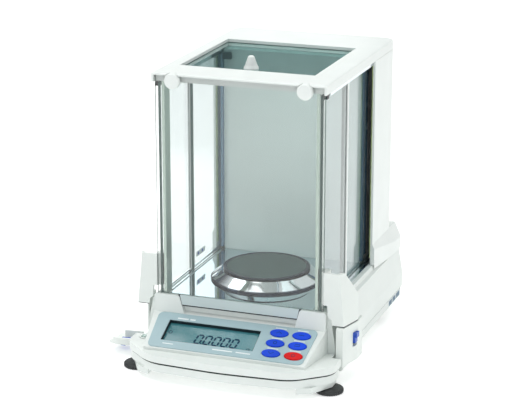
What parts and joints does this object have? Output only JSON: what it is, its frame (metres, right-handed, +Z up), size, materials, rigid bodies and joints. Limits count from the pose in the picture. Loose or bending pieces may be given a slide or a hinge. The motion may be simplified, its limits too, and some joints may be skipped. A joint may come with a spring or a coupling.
{
  "type": "analytical balance",
  "caption": "Analytical balance with a glass draught chamber, sliding side and top doors, folding door grips, a round pan and a sloping console with display and keys.",
  "frame": {"origin": "centre of the footprint on the table, with the left grip folded out", "axes": "+X to the operator's right, +Y to the back, +Z up"},
  "size_m": [0.2803, 0.33, 0.328],
  "materials": {
    "housing": "fine satin moulded plastic",
    "frame": "satin moulded plastic",
    "lever": "satin moulded plastic",
    "panel": "blue-grey printed film",
    "lcd": "liquid crystal display",
    "key_blue": "domed key",
    "key_red": "domed key",
    "latch_blue": "moulded catch",
    "clear_glass": "clear float glass",
    "seal": "black seal",
    "clip": "black plastic",
    "post": "anodised",
    "strip": "grey plastic",
    "track": "anodised",
    "back_panel": "satin sheet",
    "floor": "dark polished sheet",
    "chrome": "polished",
    "pan": "satin disc",
    "steel": "turned",
    "aluminium": "machined",
    "circuit": "circuit board",
    "silicone": "moulded silicone",
    "foot_rubber": "black rubber",
    "level_glass": "vial",
    "brass": "turned",
    "connector": "black plastic",
    "magnet": "plated"
  },
  "bodies": {
    "case": {"upper_case": "housing", "lower_case": "housing", "console_housing": "housing", "display_panel": "panel", "key_mat": "silicone", "display_glass": "lcd", "display_board": "circuit", "level_cup": "housing", "level_vial": "level_glass", "front_strip": "strip", "chamber_floor": "floor", "draught_ring": "chrome", "rear_panel": "back_panel", "column_cover": "frame", "column_seals": "seal", "top_frame": "frame", "front_glass": "clear_glass", "front_posts": "post", "glass_clips": "clip", "lower_tracks": "track", "upper_tracks": "track", "rear_feet": "foot_rubber", "serial_socket": "connector", "power_socket": "connector", "earth_terminal": "brass", "chassis_plate": "aluminium", "cell_block": "aluminium", "magnet": "magnet", "cam_motor": "steel", "main_board": "circuit", "case_screws": "steel"},
    "pan": {"weighing_pan": "pan", "pan_support": "steel"},
    "beam": {"balance_beam": "aluminium"},
    "top_door": {"top_glass": "clear_glass", "top_handle": "frame"},
    "cal_weight": {"calibration_weight": "steel"},
    "cal_cam": {"lifting_cam": "brass"},
    "front_door_left": {"front_pane_left": "clear_glass", "door_stile_left": "frame", "lever_left": "lever"},
    "rear_door_left": {"rear_pane_left": "clear_glass"},
    "grip_left": {"grip_left": "lever"},
    "latch_left": {"latch_left": "latch_blue"},
    "knob_left": {"front_knob_left": "frame"},
    "foot_left": {"levelling_foot_left": "foot_rubber"},
    "front_door_right": {"front_pane_right": "clear_glass", "door_stile_right": "frame", "lever_right": "lever"},
    "rear_door_right": {"rear_pane_right": "clear_glass"},
    "grip_right": {"grip_right": "lever"},
    "latch_right": {"latch_right": "latch_blue"},
    "knob_right": {"front_knob_right": "frame"},
    "foot_right": {"levelling_foot_right": "foot_rubber"},
    "key_upper_left": {"key_upper_left": "key_blue"},
    "key_upper_right": {"key_upper_right": "key_blue"},
    "key_middle_left": {"key_middle_left": "key_blue"},
    "key_middle_right": {"key_middle_right": "key_blue"},
    "key_lower_left": {"key_lower_left": "key_blue"},
    "key_lower_right": {"key_lower_right": "key_red"}
  },
  "joints": [
    {"name": "left_door_slide", "type": "slide", "parent": "case", "child": "front_door_left", "axis": [0, 1, 0], "range_m": [0, 0.148]},
    {"name": "left_rear_pane_slide", "type": "slide", "parent": "case", "child": "rear_door_left", "axis": [0, 1, 0], "range_m": [0, 0.074]},
    {"name": "left_grip_fold", "type": "hinge", "parent": "front_door_left", "child": "grip_left", "pos_m": [-0.0957, -0.078, 0.018], "axis": [0, 1, 0], "range_deg": [0, 92]},
    {"name": "left_latch_slide", "type": "slide", "parent": "grip_left", "child": "latch_left", "axis": [-0.9994, 0, -0.0349], "range_m": [-0.004, 0], "stiffness_N_per_m": 120},
    {"name": "left_knob_turn", "type": "hinge", "parent": "case", "child": "knob_left", "pos_m": [-0.0562, -0.0881, 0.31], "axis": [0, 1, 0], "continuous": true},
    {"name": "left_foot_turn", "type": "hinge", "parent": "case", "child": "foot_left", "pos_m": [-0.0917, -0.12, 0], "axis": [0, 0, 1], "continuous": true},
    {"name": "right_door_slide", "type": "slide", "parent": "case", "child": "front_door_right", "axis": [0, 1, 0], "range_m": [0, 0.148]},
    {"name": "right_rear_pane_slide", "type": "slide", "parent": "case", "child": "rear_door_right", "axis": [0, 1, 0], "range_m": [0, 0.074]},
    {"name": "right_grip_fold", "type": "hinge", "parent": "front_door_right", "child": "grip_right", "pos_m": [0.1273, -0.078, 0.018], "axis": [0, 1, 0], "range_deg": [0, 92]},
    {"name": "right_latch_slide", "type": "slide", "parent": "grip_right", "child": "latch_right", "axis": [0, 0, 1], "range_m": [-0.004, 0], "stiffness_N_per_m": 120},
    {"name": "right_knob_turn", "type": "hinge", "parent": "case", "child": "knob_right", "pos_m": [0.0878, -0.0881, 0.31], "axis": [0, 1, 0], "continuous": true},
    {"name": "right_foot_turn", "type": "hinge", "parent": "case", "child": "foot_right", "pos_m": [0.1233, -0.12, 0], "axis": [0, 0, 1], "continuous": true},
    {"name": "upper_left_key_press", "type": "slide", "parent": "case", "child": "key_upper_left", "axis": [0, -0.4242, 0.9056], "range_m": [-0.0012, 0], "stiffness_N_per_m": 350},
    {"name": "upper_right_key_press", "type": "slide", "parent": "case", "child": "key_upper_right", "axis": [0, -0.4242, 0.9056], "range_m": [-0.0012, 0], "stiffness_N_per_m": 350},
    {"name": "middle_left_key_press", "type": "slide", "parent": "case", "child": "key_middle_left", "axis": [0, -0.4242, 0.9056], "range_m": [-0.0012, 0], "stiffness_N_per_m": 350},
    {"name": "middle_right_key_press", "type": "slide", "parent": "case", "child": "key_middle_right", "axis": [0, -0.4242, 0.9056], "range_m": [-0.0012, 0], "stiffness_N_per_m": 350},
    {"name": "lower_left_key_press", "type": "slide", "parent": "case", "child": "key_lower_left", "axis": [0, -0.4242, 0.9056], "range_m": [-0.0012, 0], "stiffness_N_per_m": 350},
    {"name": "lower_right_key_press", "type": "slide", "parent": "case", "child": "key_lower_right", "axis": [0, -0.4242, 0.9056], "range_m": [-0.0012, 0], "stiffness_N_per_m": 350},
    {"name": "top_door_slide", "type": "slide", "parent": "case", "child": "top_door", "axis": [0, 1, 0], "range_m": [0, 0.062]},
    {"name": "pan_travel", "type": "slide", "parent": "case", "child": "pan", "axis": [0, 0, 1], "range_m": [-0.0006, 0], "stiffness_N_per_m": 15000},
    {"name": "beam_tilt", "type": "hinge", "parent": "case", "child": "beam", "pos_m": [0.0158, 0.01, 0.055], "axis": [1, 0, 0], "range_deg": [0, 1.8]},
    {"name": "cal_cam_turn", "type": "hinge", "parent": "case", "child": "cal_cam", "pos_m": [0.0158, -0.038, 0.0275], "axis": [1, 0, 0], "range_deg": [0, 180]},
    {"name": "cal_weight_lift", "type": "slide", "parent": "case", "child": "cal_weight", "axis": [0, 0, 1], "range_m": [0, 0.003]}
  ],
  "couplings": [
    {"joint": "left_rear_pane_slide", "follows": "left_door_slide", "ratio": 0.5},
    {"joint": "right_rear_pane_slide", "follows": "right_door_slide", "ratio": 0.5},
    {"joint": "beam_tilt", "follows": "pan_travel", "rad_per_m": -50},
    {"joint": "cal_cam_turn", "follows": "cal_weight_lift", "rad_per_m": 1047.2}
  ]
}
